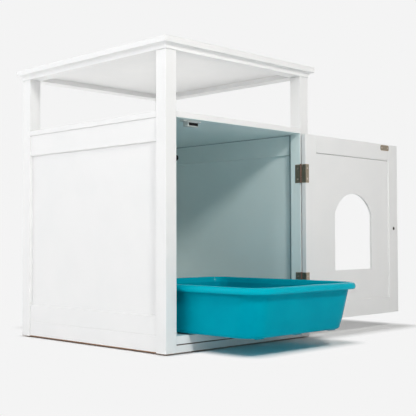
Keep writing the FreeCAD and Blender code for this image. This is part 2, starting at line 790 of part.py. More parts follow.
# Door panel: thin sheet with the cat's opening, straight-sided under a shallow arch.
door_panel = new_body("door_panel")
sheet_outline = new_sketch(door_panel, "XZ_Plane", z="-(door_middle_y + door_panel_thickness / 2)")
trace(sheet_outline, [
    (f"{latch_inner} - tongue", f"{lower_rail_top} - tongue"),
    (f"{hinge_inner} + tongue", f"{lower_rail_top} - tongue"),
    (f"{hinge_inner} + tongue", f"{upper_rail_bottom} + tongue"),
    (f"{latch_inner} - tongue", f"{upper_rail_bottom} + tongue"),
])
arch_spring = "floor_top + arch_sill + arch_side_height"
trace(sheet_outline, [
    ("door_middle_x - arch_width / 2", "floor_top + arch_sill"),
    ("door_middle_x + arch_width / 2", "floor_top + arch_sill"),
    ("door_middle_x + arch_width / 2", arch_spring, "arch_radius", 1),
    ("door_middle_x - arch_width / 2", arch_spring),
])
pad(door_panel, sheet_outline, "door_panel_thickness")
on_door(door_panel)

# Knob: turned, fixed through the latch stile by a screw from behind.
knob = new_body("door_knob")
knob_section = trace(new_sketch(knob, "XY_Plane", "knob_x", "door_front", "door_middle_z"), [
    ("0", "0"),
    ("0", "-knob_crown_end"),
    ("knob_face_diameter / 2", "-knob_crown_end"),
    ("knob_bevel_diameter / 2", "-knob_bevel_end"),
    ("knob_diameter / 2", "-knob_rim_end"),
    ("knob_diameter / 2", "-knob_flare_end"),
    ("knob_neck_diameter / 2", "-knob_neck_end"),
    ("knob_neck_diameter / 2", "-knob_foot_height - knob_foot_taper"),
    ("knob_foot_diameter / 2", "-knob_foot_height"),
    ("knob_foot_diameter / 2", "0"),
])
revolve(knob, knob_section)
bore(knob, ("knob_x", "door_front", "door_middle_z"), "knob_screw_radius + screw_fit",
     "knob_screw_depth + screw_fit", FACING_FRONT)
on_door(knob)
bore(latch_stile, ("knob_x", "door_back", "door_middle_z"), "knob_screw_radius + screw_fit", "door_thickness",
     FACING_FRONT)
knob_screw = doc.addObject("Part::MultiFuse", "knob_screw")
knob_screw.Label = "knob_screw"
knob_screw.Shapes = [
    solid("Cone", "knob_screw_head", "knob_x", "door_back", "door_middle_z", ALONG_Y,
          Radius1="knob_screw_head_diameter / 2", Radius2="knob_screw_crown_diameter / 2",
          Height="knob_screw_head_height"),
    solid("Cylinder", "knob_screw_shank", "knob_x", "door_back + knob_screw_head_height / 2", "door_middle_z",
          FACING_FRONT, Radius="knob_screw_radius",
          Height="knob_screw_head_height / 2 + door_thickness + knob_screw_depth"),
]
pieces.append(on_door(knob_screw))

# Strike plate: a thin steel plate on the door's inner face that the catch holds.
strike = new_body("strike_plate")
box(
    strike,
    ("strike_x - strike_width / 2", "door_back", "strike_level - strike_height / 2"),
    ("strike_x + strike_width / 2", "door_back + strike_thickness", "strike_level + strike_height / 2"),
)
door_top_rail = doc.getObject("door_top_rail")
strike_screws = []
for name, side in (("outer", -1), ("inner", 1)):
    spot = (f"strike_x + {side} * strike_screw_spread / 2", "door_back + strike_thickness", "strike_level")
    countersink(strike, *spot, FACING_FRONT, height="strike_thickness")
    pilot(door_top_rail, *spot, FACING_FRONT)
    strike_screws.append(screw(f"{name}_strike_screw", *spot, ALONG_Y, "screw_radius", "screw_length",
                               "screw_head_diameter / 2", "strike_thickness"))
on_door(strike)
on_door(group("strike_screws", strike_screws))

# Magnetic catch: a plastic housing screwed up under the shelf, with its magnet facing the door.
catch = new_body("catch_housing")
box(
    catch,
    ("strike_x - catch_width / 2", "catch_front", "catch_bottom"),
    ("strike_x + catch_width / 2", "catch_front + catch_depth", "shelf_bottom"),
)
ease_edges(catch)
box(
    catch,
    ("strike_x - catch_width / 2 - catch_ear", "catch_middle_y - catch_ear / 2",
     "shelf_bottom - catch_ear_thickness"),
    ("strike_x + catch_width / 2 + catch_ear", "catch_middle_y + catch_ear / 2", "shelf_bottom"),
)
cut_box(
    catch,
    ("strike_x - magnet_half - magnet_fit", "catch_front - edge_ease", "magnet_level - magnet_fit"),
    ("strike_x + magnet_half + magnet_fit", "catch_front + catch_depth - catch_wall",
     "magnet_level + magnet_height + magnet_fit"),
)
magnet = new_body("catch_magnet")
box(
    magnet,
    ("strike_x - magnet_half", "catch_front - magnet_proud", "magnet_level"),
    ("strike_x + magnet_half", "catch_front + catch_depth - catch_wall - magnet_fit",
     "magnet_level + magnet_height"),
)
catch_screws = []
for name, side in (("outer", -1), ("inner", 1)):
    spot = (f"strike_x + {side} * catch_screw_x", "catch_middle_y", "shelf_bottom - catch_ear_thickness")
    countersink(catch, *spot, ALONG_Z)
    pilot(catch, *spot, ALONG_Z)
    pilot(shelf_board, *spot, ALONG_Z)
    catch_screws.append(screw(f"{name}_catch_screw", *spot, FACING_DOWN, "screw_radius", "screw_length",
                              "screw_head_diameter / 2", "screw_head_height"))
group("catch_screws", catch_screws)


# Hinges: one leaf on the post's inner face, the other on the door's edge and wrapped behind it,
# with the knuckles on a pin in front of the corner.
def cut_knuckle(leaf, bottom, top):
    """Clear a leaf out of the way of the other leaf's knuckle."""
    cut_box(
        leaf,
        ("hinge_x - barrel_clear", "hinge_y - barrel_clear", bottom),
        ("hinge_x + barrel_clear", "hinge_y + barrel_clear", top),
    )


front_right_post = doc.getObject("front_right_post")
post_screws = []
door_screws = []
for name in ("upper", "lower"):
    level = f"{name}_hinge_level"
    split_low = f"{level} + knuckle_length"
    split_high = f"{level} + 2 * knuckle_length"
    end_level = f"{level} + hinge_height"

    post_leaf = new_body(f"{name}_hinge_post_leaf")
    box(
        post_leaf,
        ("post_face_x - leaf_thickness", "hinge_y", level),
        ("post_face_x", "leaf_width - half_depth", end_level),
    )
    cylinder(post_leaf, ("hinge_x", "hinge_y", level), "barrel_radius", "hinge_height")
    cut_knuckle(post_leaf, f"{split_low} - knuckle_gap / 2", f"{split_high} + knuckle_gap / 2")
    bore(post_leaf, ("hinge_x", "hinge_y", level), "pin_radius + pin_fit", "hinge_height")

    door_leaf = new_body(f"{name}_hinge_door_leaf")
    box(
        door_leaf,
        ("door_hinge_edge", "hinge_y", level),
        ("door_hinge_edge + leaf_thickness", "door_back + leaf_thickness", end_level),
    )
    box(
        door_leaf,
        ("door_hinge_edge - wrap_width", "door_back", level),
        ("door_hinge_edge + leaf_thickness", "door_back + leaf_thickness", end_level),
    )
    cylinder(door_leaf, ("hinge_x", "hinge_y", f"{split_low} + knuckle_gap / 2"), "barrel_radius",
             "knuckle_length - knuckle_gap")
    cut_knuckle(door_leaf, level, f"{split_low} + knuckle_gap / 2")
    cut_knuckle(door_leaf, f"{split_high} - knuckle_gap / 2", end_level)
    bore(door_leaf, ("hinge_x", "hinge_y", level), "pin_radius + pin_fit", "hinge_height")

    pin = new_body(f"{name}_hinge_pin")
    cylinder(pin, ("hinge_x", "hinge_y", f"{level} - pin_head - pin_fit"), "pin_radius",
             "hinge_height + 2 * pin_head + 2 * pin_fit")
    for head in (f"{level} - pin_head - pin_fit", f"{end_level} + pin_fit"):
        cylinder(pin, ("hinge_x", "hinge_y", head), "barrel_radius", "pin_head")

    for place_name, side in (("low", -1), ("high", 1)):
        screw_level = f"{level} + hinge_height / 2 + {side} * hinge_screw_spread / 2"
        spot = ("post_face_x - leaf_thickness", "leaf_width / 2 - half_depth", screw_level)
        countersink(post_leaf, *spot, ALONG_X, height="leaf_thickness")
        pilot(front_right_post, *spot, ALONG_X)
        post_screws.append(screw(f"{name}_{place_name}_post_screw", *spot, FACING_LEFT, "screw_radius",
                                 "screw_length", "screw_head_diameter / 2", "leaf_thickness"))
        spot = ("door_hinge_edge - wrap_width / 2", "door_back + leaf_thickness", screw_level)
        countersink(door_leaf, *spot, FACING_FRONT, height="leaf_thickness")
        pilot(hinge_stile, *spot, FACING_FRONT)
        door_screws.append(screw(f"{name}_{place_name}_door_screw", *spot, ALONG_Y, "screw_radius",
                                 "screw_length", "screw_head_diameter / 2", "leaf_thickness"))
    on_door(door_leaf)
group("hinge_post_screws", post_screws)
on_door(group("hinge_door_screws", door_screws))

# Litter pan: one thin moulding with tapered walls, a lip rolled out and down, and low feet.
FOOT_STEPS = 3
LEVEL_SLACK = 0.01
pan = new_body("litter_pan")
place(pan, "pan_middle_x", "pan_middle_y", "0")


def pan_outline(level, half_x, half_y, corner, inset="0"):
    """A level outline of the pan, drawn in from a given size."""
    sketch = new_sketch(pan, "XY_Plane", z=level)
    return trace(sketch, rounded(f"{half_x} - {inset}", f"{half_y} - {inset}", f"{corner} - {inset}"))


def pan_wall_outlines(wall):
    """Outlines up a wall that is rounded at its foot, drawn in by the wall's own thickness."""
    outlines = []
    for step in range(FOOT_STEPS + 1):
        turn = math.pi / 2 * step / FOOT_STEPS
        outlines.append(pan_outline(
            f"pan_base + {wall} + pan_base_round * {1 - math.cos(turn):.5f}",
            "pan_base_x", "pan_base_y", "pan_base_corner",
            f"({wall} + pan_base_round * {1 - math.sin(turn):.5f})"))
    outlines.append(pan_outline("pan_rim", "pan_mouth_x", "pan_mouth_y", "pan_mouth_corner", wall))
    return outlines


def round_level(body, level, radius):
    """Round the edges that lie all at one level."""
    blank = body.Tip
    height = number(level)
    names = []
    for index, edge in enumerate(blank.Shape.Edges, start=1):
        extent = edge.BoundBox
        if abs(extent.ZMin - height) < LEVEL_SLACK and abs(extent.ZMax - height) < LEVEL_SLACK:
            names.append(f"Edge{index}")
    feature = body.newObject("PartDesign::Fillet", f"{body.Name}_round")
    feature.Base = (blank, names)
    bind(feature, Radius=radius)
    doc.recompute()
    return feature


lip_outline = pan_outline("pan_rim - pan_lip_drop", "pan_half_width", "pan_half_length", "pan_corner")
pad(pan, lip_outline, "pan_lip_drop")
round_level(pan, "pan_rim", "pan_lip_round")
loft(pan, pan_wall_outlines("0"))
lip_hollow = new_sketch(pan, "XY_Plane", z="pan_rim - pan_lip_drop")
trace(lip_hollow, rounded("lip_groove_x", "lip_groove_y", "lip_groove_corner"))
trace(lip_hollow, rounded("pan_mouth_x", "pan_mouth_y", "pan_mouth_corner"))
pocket(pan, lip_hollow, "pan_lip_drop - pan_lip_wall")
loft(pan, pan_wall_outlines("pan_wall"), kind="Subtractive")
feet = new_sketch(pan, "XY_Plane", z="pan_foot_bottom")
for side in (-1, 0, 1):
    for end in (-1, 0, 1):
        if side == 0 and end == 0:
            continue
        foot_x = f"{side} * pan_foot_x"
        foot_y = f"{end} * pan_foot_y"
        trace(feet, [
            (f"{foot_x} - pan_foot_length / 2", f"{foot_y} - pan_foot_width / 2"),
            (f"{foot_x} + pan_foot_length / 2", f"{foot_y} - pan_foot_width / 2"),
            (f"{foot_x} + pan_foot_length / 2", f"{foot_y} + pan_foot_width / 2"),
            (f"{foot_x} - pan_foot_length / 2", f"{foot_y} + pan_foot_width / 2"),
        ])
pad(pan, feet, "pan_foot_height")

# Check every object and write each sub-part.
doc.recompute()
for thing in doc.Objects:
    if "Invalid" in thing.State or "Error" in thing.State:
        raise ValueError(f"{thing.Name} failed: {thing.State}")
os.makedirs("parts", exist_ok=True)
for piece in pieces:
    shape = piece.Shape
    if shape.isNull() or not shape.isValid():
        raise ValueError(f"{piece.Label} has no valid shape")
    shape.exportStep(f"parts/{piece.Label}.step")
    print(f"{piece.Label}: {len(shape.Solids)} solid, {shape.Volume:.0f} mm3")
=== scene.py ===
import json
import math

import bmesh
import bpy
from mathutils import Matrix, Vector


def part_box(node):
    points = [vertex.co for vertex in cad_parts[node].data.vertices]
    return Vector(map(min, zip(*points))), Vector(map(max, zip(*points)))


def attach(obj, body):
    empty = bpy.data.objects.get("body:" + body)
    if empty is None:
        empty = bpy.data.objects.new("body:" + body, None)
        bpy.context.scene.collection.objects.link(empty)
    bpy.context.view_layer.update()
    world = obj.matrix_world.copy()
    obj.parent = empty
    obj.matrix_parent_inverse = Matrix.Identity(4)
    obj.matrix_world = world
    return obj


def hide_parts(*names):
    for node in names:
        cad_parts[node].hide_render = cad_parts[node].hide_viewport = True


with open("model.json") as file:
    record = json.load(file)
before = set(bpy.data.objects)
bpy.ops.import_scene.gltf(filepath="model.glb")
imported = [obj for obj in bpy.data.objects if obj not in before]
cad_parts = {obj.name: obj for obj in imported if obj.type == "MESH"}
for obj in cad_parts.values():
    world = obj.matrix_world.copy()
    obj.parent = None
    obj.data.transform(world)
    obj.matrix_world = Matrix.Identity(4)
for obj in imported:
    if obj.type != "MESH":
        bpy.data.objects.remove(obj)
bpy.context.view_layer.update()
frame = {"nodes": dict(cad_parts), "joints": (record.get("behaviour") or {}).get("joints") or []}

# Cabinet: posts, rails, boards and thin panels of fibreboard, sprayed with satin white paint.
# The rails and panels are tongued into the posts before spraying, so the paint runs over the
# joints, and only the sawn feet and undersides near the floor are left bare and brown.
# Inside, the paint is tinted blue-green as painted teal light thrown back by the pan, and a few joints
# and inner corners are painted dark as painted shade.


class Wire:
    """An output socket of a shader node. Sums on it add the nodes that work them out."""

    def __init__(self, tree, socket=None):
        self.tree = tree
        self.socket = socket

    def node(self, kind, settings=None, inputs=None, output=0):
        """Add a node, with its settings set first and then the values or wires of its inputs."""
        added = self.tree.nodes.new(kind)
        for name, value in (settings or {}).items():
            setattr(added, name, value)
        for name, value in (inputs or {}).items():
            if isinstance(value, Wire):
                self.tree.links.new(value.socket, added.inputs[name])
            else:
                added.inputs[name].default_value = value
        return Wire(self.tree, added.outputs[output] if added.outputs else None)

    def sum(self, operation, first, second):
        """Math on values, and Vector Math as soon as one side is a colour or a vector."""
        sides = (first, second)
        spread = any(isinstance(side, tuple) or isinstance(side, Wire) and side.socket.type != "VALUE"
                     for side in sides)
        if spread:
            sides = tuple((side,) * 3 if isinstance(side, (int, float)) else side for side in sides)
        kind = "ShaderNodeVectorMath" if spread else "ShaderNodeMath"
        return self.node(kind, {"operation": operation}, dict(enumerate(sides)))

    def __add__(self, other):
        return self.sum("ADD", self, other)

    def __radd__(self, other):
        return self.sum("ADD", other, self)

    def __sub__(self, other):
        return self.sum("SUBTRACT", self, other)

    def __rsub__(self, other):
        return self.sum("SUBTRACT", other, self)

    def __mul__(self, other):
        return self.sum("MULTIPLY", self, other)

    def __rmul__(self, other):
        return self.sum("MULTIPLY", other, self)

    def either(self, other):
        """The larger of the two values."""
        return self.sum("MAXIMUM", self, other)

    def step(self, low, high):
        """A smooth step from 0 where this is low to 1 where it is high."""
        return self.node("ShaderNodeMapRange", {"interpolation_type": "SMOOTHSTEP"},
                         {"Value": self, "From Min": low, "From Max": high})

    def mix(self, none, full):
        """A colour that goes from none to full as this goes from 0 to 1."""
        sides = [side + (1,) if isinstance(side, tuple) else side for side in (none, full)]
        return self.node("ShaderNodeMix", {"data_type": "RGBA"}, {0: self, 6: sides[0], 7: sides[1]}, 2)

    def noise(self, scale, detail=2.0, stretch=(1, 1, 1)):
        """Noise over this place, with scale in cycles for each metre."""
        return self.node("ShaderNodeTexNoise", {}, {
            "Vector": self * stretch, "Scale": scale, "Detail": detail})

    def bump(self, depth, strength=1.0):
        """A normal that follows this height, with depth in metres."""
        return self.node("ShaderNodeBump", {}, {"Height": self, "Distance": depth, "Strength": strength})


def shader_tree(owner):
    """Empty an owner's node tree and return a wire that nodes can be added from."""
    owner.use_nodes = True
    owner.node_tree.nodes.clear()
    return Wire(owner.node_tree)


def surface(start, sockets):
    """Finish a material with one principled shader that has these sockets."""
    shader = start.node("ShaderNodeBsdfPrincipled", {}, sockets)
    start.node("ShaderNodeOutputMaterial", {}, {"Surface": shader})


def part_place(start):
    """The place on the part, in metres, and its height."""
    place = start.node("ShaderNodeTexCoord", output="Object")
    return place, place.node("ShaderNodeSeparateXYZ", {}, {"Vector": place}, "Z")


PAINT_WHITE = (0.87, 0.87, 0.87)
PAINT_THIN = (0.85, 0.855, 0.855)
# INSIDE_TEAL_BOUNCE is painted light: a blue-green tint inside the cabinet for the light the teal pan
# throws back.
INSIDE_TEAL_BOUNCE = (0.92, 1.06, 1.06)
INSIDE_LOW = (-0.2145, -0.2535, 0.0365)
INSIDE_HIGH = (0.2145, 0.2355, 0.4764)
BARE_BOARD = (0.31, 0.175, 0.105)
JOINT_BARE_AND_SHADE = (0.10, 0.060, 0.045)
JOINT_SHADE = (0.33, 0.42, 0.45)
POST_BARE = 0.0031
RAIL_BARE = 0.0046
BARE_FADE = 0.0004
EDGE_FADE = (0, 0.0003)
# The dark brown line where the floor board meets the front rail is partly the bare sawn edge and partly
# painted shade in the gap.
FLOOR_JOINT_SHADE = ((-0.1985, -0.2550, 0.0180), (0.1985, -0.2525, 0.0201))
# Painted shade: a dark line where the shelf meets the side rails, and darkened inner corners of rails and
# panels by the front posts.
SHELF_JOINT_SHADE = ((0.2070, -0.2245, 0.4744), (0.2090, 0.2245, 0.4770))
RAIL_CORNER_SHADE = ((0.2070, -0.2310, 0.0300), (0.2090, -0.2122, 0.4770))
PANEL_CORNER_SHADE = ((0.2130, -0.2310, 0.0700), (0.2142, -0.2082, 0.4340))


def within(place, low, high, fade):
    """One inside the box from low to high, fading to 0 over a short way outside it."""
    middle = tuple((a + b) / 2 for a, b in zip(low, high))
    half = tuple((b - a) / 2 for a, b in zip(low, high))
    reach = place.node("ShaderNodeVectorMath", {"operation": "ABSOLUTE"}, {0: place - middle})
    beyond = (reach - half).either((0, 0, 0))
    distance = beyond.node("ShaderNodeVectorMath", {"operation": "LENGTH"}, {0: beyond}, "Value")
    return 1 - distance.step(*fade)


def satin_paint(name, grain, bare_edge, joints=(), joint_shade_tone=JOINT_BARE_AND_SHADE):
    """Satin white paint stippled along the grain, bare at the floor, with painted teal light and painted
    shade.
    """
    paint = bpy.data.materials.new(name)
    start = shader_tree(paint)
    place, height = part_place(start)
    cloud = place.noise(11, 3)
    stipple = place.noise(850, 2, grain)
    ripple = place.noise(95, 2, grain)
    # Painted teal bounce light from the pan on every face inside the cabinet.
    inside = within(place, INSIDE_LOW, INSIDE_HIGH, EDGE_FADE)
    coat = cloud.step(0.3, 0.75).mix(PAINT_WHITE, PAINT_THIN) * inside.mix((1.0, 1.0, 1.0), INSIDE_TEAL_BOUNCE)
    # Each listed box is darkened to its tone, as painted shade where the gaps and recesses fall into
    # shadow.
    for low, high in joints:
        coat = within(place, low, high, EDGE_FADE).mix(coat, joint_shade_tone)
    bare = 1 - (height + place.noise(160) * 0.0006).step(bare_edge, bare_edge + BARE_FADE)
    surface(start, {
        "Base Color": bare.mix(coat, BARE_BOARD),
        "Roughness": 0.34 + 0.1 * cloud + 0.06 * stipple + 0.3 * bare,
        "Specular IOR Level": 0.35,
        "Normal": (stipple + 1.5 * ripple).bump(0.00006, 0.5),
    })
    return paint


def dress(finish, *names):
    """Give CAD nodes a finish."""
    for name in names:
        for slot in frame["nodes"][name].material_slots:
            slot.material = finish


def both_sides(low, high):
    """A box in the right side and its mirror image in the left."""
    return (low, high), ((-high[0], low[1], low[2]), (-low[0], high[1], high[2]))


ALONG = {"x": (0.25, 1, 1), "y": (1, 0.25, 1), "z": (1, 1, 0.25)}
upright_paint = satin_paint("upright_paint", ALONG["z"], POST_BARE)
side_paint = satin_paint("side_paint", ALONG["y"], RAIL_BARE)
# Painted shade on the rails and side panels: the shelf joint line and the inner corners beside the front
# posts.
rail_shade_lines = both_sides(*SHELF_JOINT_SHADE) + both_sides(*RAIL_CORNER_SHADE)
rail_paint = satin_paint("rail_paint", ALONG["y"], RAIL_BARE, rail_shade_lines, JOINT_SHADE)
panel_corner_shade = both_sides(*PANEL_CORNER_SHADE)
side_panel_paint = satin_paint("side_panel_paint", ALONG["z"], POST_BARE, panel_corner_shade, JOINT_SHADE)
cross_paint = satin_paint("cross_paint", ALONG["x"], POST_BARE)
floor_paint = satin_paint("floor_paint", ALONG["x"], POST_BARE, [FLOOR_JOINT_SHADE])
SIDES = ("left", "right")
dress(upright_paint, *(f"{end}_{side}_post" for end in ("front", "rear") for side in SIDES))
dress(upright_paint, "back_panel")
dress(side_panel_paint, "left_side_panel", "right_side_panel")
dress(rail_paint, *(f"{side}_{level}_rail" for side in SIDES for level in ("top", "bottom")))
dress(side_paint, "left_base_rail", "right_base_rail", "top_moulding_left", "top_moulding_right")
dress(cross_paint, "rear_top_rail", "rear_base_rail", "shelf_board")
dress(floor_paint, "front_base_rail", "floor_board")
dress(cross_paint, "top_moulding_front", "top_moulding_rear", "top_board")

# Foot glides: low buttons of grey polythene, each with its own nail, driven into the post ends.
# They stand under the sawn foot of the post and keep it off a wet floor.
GLIDE_GREY = (0.42, 0.42, 0.40)


def moulded_plastic(name, colour, worn, rough, scale, sheen=0.5):
    """Moulded plastic with a fine spark-eroded grain and a slightly uneven gloss."""
    plastic = bpy.data.materials.new(name)
    start = shader_tree(plastic)
    place, _ = part_place(start)
    cloud = place.noise(scale, 3)
    surface(start, {
        "Base Color": cloud.step(0.35, 0.7).mix(colour, worn),
        "Roughness": rough + 0.12 * cloud,
        "Specular IOR Level": sheen,
        "Normal": place.noise(scale * 25).bump(0.00004, 0.4),
    })
    return plastic


dress(moulded_plastic("glide_plastic", GLIDE_GREY, (0.34, 0.34, 0.32), 0.4, 120), "foot_glides")

# Shelf and top fittings: black cam locks in the rear top corners of the sides, their zinc plated
# bolts, and fluted beech dowels, all pushed into bored holes when the cabinet is put together.
CAM_BLACK = (0.006, 0.006, 0.007)


def plated_steel(name, colour, dull, rough):
    """Bright plated steel with a fine drawn grain."""
    steel = bpy.data.materials.new(name)
    start = shader_tree(steel)
    place, _ = part_place(start)
    cloud = place.noise(260, 3)
    surface(start, {
        "Base Color": cloud.step(0.35, 0.7).mix(colour, dull),
        "Metallic": 1.0,
        "Roughness": rough + 0.15 * cloud,
        "Normal": place.noise(2600, 2, ALONG["y"]).bump(0.00002, 0.4),
    })
    return steel


def turned_beech(name):
    """Pale beech with its short dark flecks along the dowel."""
    beech = bpy.data.materials.new(name)
    start = shader_tree(beech)
    place, _ = part_place(start)
    fleck = place.noise(900, 3, (1, 1, 0.12)).step(0.55, 0.75)
    surface(start, {
        "Base Color": fleck.mix((0.56, 0.38, 0.23), (0.36, 0.21, 0.11)),
        "Roughness": 0.55 + 0.15 * fleck,
        "Normal": fleck.bump(0.00005, 0.5),
    })
    return beech


zinc = plated_steel("zinc_plate", (0.62, 0.63, 0.63), (0.47, 0.48, 0.50), 0.24)
dress(moulded_plastic("cam_black", CAM_BLACK, (0.011, 0.011, 0.012), 0.32, 300), "cam_locks")
dress(zinc, "cam_bolts")
dress(turned_beech("beech_dowel"), "shelf_dowels", "top_dowels")

# Magnetic catch: a white moulded housing under the shelf, with a black ferrite bar magnet behind
# its slot, screwed up through an ear at each end.
# The white housing is drawn grey and blue-green: painted shade and painted teal light from the pan inside
# the cabinet.
CATCH_SHADED_TEAL = (0.60, 0.64, 0.63)
FERRITE = (0.004, 0.0035, 0.004)
dress(moulded_plastic("catch_painted_shade", CATCH_SHADED_TEAL, (0.56, 0.60, 0.59), 0.34, 180, 0.35), "catch_housing")
dress(moulded_plastic("ferrite", FERRITE, (0.007, 0.006, 0.007), 0.6, 420, 0.15), "catch_magnet")

# Door: a painted frame of two stiles and two rails round a thin panel with the arched opening.
# It is sprayed like the cabinet, and a grey strip on the panel just under the top rail is painted shadow
# from that rail.
RAIL_SHADOW_GREY = (0.40, 0.40, 0.39)
RAIL_SHADOW_HEIGHT = 0.0012
rail_low, rail_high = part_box("door_top_rail")
# Painted shadow of the top rail: a thin grey strip on the panel just under it.
panel_rail_shadow = (rail_low - Vector((0, 0, RAIL_SHADOW_HEIGHT)), rail_high)
panel_paint = satin_paint("panel_paint", ALONG["z"], POST_BARE, [panel_rail_shadow], RAIL_SHADOW_GREY)
dress(upright_paint, "door_latch_stile", "door_hinge_stile")
dress(panel_paint, "door_panel")
dress(cross_paint, "door_bottom_rail", "door_top_rail")

# Hinges: two partial-wrap hinges of pressed steel in antique bronze lacquer, screwed to post and door.
# The lacquer is brushed dark and rubbed back along the edges, and the barrel round the pin is copper.
BRONZE_DARK = (0.27, 0.24, 0.19)
BRONZE_WARM = (0.46, 0.34, 0.24)
BRONZE_COPPER = (0.19, 0.115, 0.09)
BRONZE_RUB = 0.0009


def antique_bronze(name, low, high, grain, barrel=None):
    """Brushed antique bronze, rubbed near the edges of the box from low to high, copper on a barrel."""
    bronze = bpy.data.materials.new(name)
    start = shader_tree(bronze)
    place, _ = part_place(start)
    streak = place.noise(1500, 3, grain)
    patch = place.noise(240, 3)
    middle = (low + high) / 2
    reach = place.node("ShaderNodeVectorMath", {"operation": "ABSOLUTE"}, {0: place - tuple(middle)})
    inside = tuple((high - low) / 2) - reach
    upright = inside.node("ShaderNodeSeparateXYZ", {}, {"Vector": inside}, "Z")
    rubbed = 1 - (upright + 0.0008 * patch).step(BRONZE_RUB * 0.5, BRONZE_RUB * 2)
    tone = (0.55 * patch + 0.45 * streak).step(0.35, 0.7)
    colour = (0.6 * rubbed + 0.45 * tone).mix(BRONZE_DARK, BRONZE_WARM)
    if barrel:
        colour = within(place, *barrel, (0, 0.0004)).mix(colour, BRONZE_COPPER)
    surface(start, {
        "Base Color": colour,
        "Metallic": 1.0,
        "Roughness": 0.36 + 0.16 * streak,
        "Normal": streak.bump(0.00003, 0.5),
    })
    return bronze


for level in ("upper", "lower"):
    names = [f"{level}_hinge_{piece}" for piece in ("post_leaf", "door_leaf", "pin")]
    bronze = antique_bronze(f"{level}_hinge_bronze", *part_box(names[0]), ALONG["z"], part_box(names[2]))
    dress(bronze, *names)

# Strike plate: a small plate of the same lacquered steel with round corners, pressed and countersunk.
# Two screws hold it on the inner face of the door, at the corner that meets the magnet.
STRIKE_WIDTH = 0.038
STRIKE_HEIGHT = 0.014
STRIKE_THICKNESS = 0.0012
STRIKE_CORNER = 0.0046
STRIKE_EDGE = 0.0004
SCREW_HEAD = 0.0028
SCREW_SHANK = 0.0013
HEAD_STEPS = 32
CORNER_STEPS = 14
RUN_STEPS = 6


def new_piece(name, mesh, finish, smooth_degrees=35):
    """Link a mesh piece with its finish, shaded smooth except over sharp edges."""
    mesh.materials.append(finish)
    mesh.shade_smooth()
    mesh.set_sharp_from_angle(angle=math.radians(smooth_degrees))
    piece = bpy.data.objects.new(name, mesh)
    bpy.context.scene.collection.objects.link(piece)
    return piece


def to_mesh(name, shape):
    """Turn a bmesh into a mesh and free it."""
    mesh = bpy.data.meshes.new(name)
    shape.to_mesh(mesh)
    shape.free()
    return mesh


def lathe(mesh, profile, steps):
    """Turn a profile of (radius, height) about Z into a closed skin; its ends lie on the axis."""
    rings = []
    for radius, height in profile:
        if radius == 0:
            rings.append([mesh.verts.new((0, 0, height))])
            continue
        turns = [math.tau * step / steps for step in range(steps)]
        points = [(radius * math.cos(turn), radius * math.sin(turn), height) for turn in turns]
        rings.append([mesh.verts.new(point) for point in points])
    for ring, following in zip(rings, rings[1:]):
        for step in range(steps):
            corners = [ring[step % len(ring)], ring[(step + 1) % len(ring)],
                       following[(step + 1) % len(following)], following[step % len(following)]]
            mesh.faces.new(list(dict.fromkeys(corners)))


def solids(node):
    """Lowest and highest corner of each separate solid of a CAD node."""
    mesh = bmesh.new()
    mesh.from_mesh(frame["nodes"][node].data)
    bmesh.ops.remove_doubles(mesh, verts=mesh.verts, dist=1e-6)
    waiting = set(mesh.verts)
    boxes = []
    while waiting:
        solid = {waiting.pop()}
        edge = list(solid)
        while edge:
            for link in edge.pop().link_edges:
                fresh = set(link.verts) & waiting
                waiting -= fresh
                solid |= fresh
                edge += fresh
        spread = list(zip(*(vert.co for vert in solid)))
        boxes.append(tuple(Vector(pick(values) for values in spread) for pick in (min, max)))
    mesh.free()
    return sorted(boxes, key=lambda box: [round(value, 4) for value in box[0]])


def join_cut(name, body, cutter):
    """The mesh of a body with a cutter taken out of it."""
    meshes = []
    for label, source in (("body", body), ("cutter", cutter)):
        bmesh.ops.recalc_face_normals(source, faces=source.faces)
        meshes.append(to_mesh(f"{name}_{label}", source))
    holders = [bpy.data.objects.new(mesh.name, mesh) for mesh in meshes]
    for holder in holders:
        bpy.context.scene.collection.objects.link(holder)
    cut = holders[0].modifiers.new("recess", "BOOLEAN")
    cut.object = holders[1]
    cut.operation = "DIFFERENCE"
    cut.solver = "EXACT"
    cut.use_self = True
    shown = holders[0].evaluated_get(bpy.context.evaluated_depsgraph_get())
    result = bpy.data.meshes.new_from_object(shown)
    for holder in holders:
        bpy.data.objects.remove(holder)
    for mesh in meshes:
        bpy.data.meshes.remove(mesh)
    return result


def rounded_loop(half_x, half_y, corner, height):
    """Points round a rectangle with round corners, with as many points in every loop."""
    points = []
    for quarter, (side, end) in enumerate(((1, -1), (1, 1), (-1, 1), (-1, -1))):
        middle = Vector((side * (half_x - corner), end * (half_y - corner), height))
        for step in range(CORNER_STEPS + 1):
            angle = math.pi / 2 * (quarter - 1 + step / CORNER_STEPS)
            points.append(middle + corner * Vector((math.cos(angle), math.sin(angle), 0)))
    shape = []
    for place, (point, following) in enumerate(zip(points, points[1:] + points[:1])):
        shape.append(point)
        if (place + 1) % (CORNER_STEPS + 1) == 0:
            shape += [point.lerp(following, (step + 1) / (RUN_STEPS + 1)) for step in range(RUN_STEPS)]
    return shape


def skin(mesh, loops, offset=Vector((0, 0, 0))):
    """Close a row of loops into a solid skin, flat at its first and last loop."""
    rings = [[mesh.verts.new(point + offset) for point in loop] for loop in loops]
    for ring, following in zip(rings, rings[1:]):
        for k in range(len(ring)):
            after = (k + 1) % len(ring)
            mesh.faces.new((ring[k], ring[after], following[after], following[k]))
    mesh.faces.new(rings[0][::-1])
    mesh.faces.new(rings[-1])


def seated(place, facing):
    """A frame at a place, with its Z axis the way that a piece faces."""
    return Matrix.Translation(place) @ facing.to_track_quat("Z", "Y").to_matrix().to_4x4()


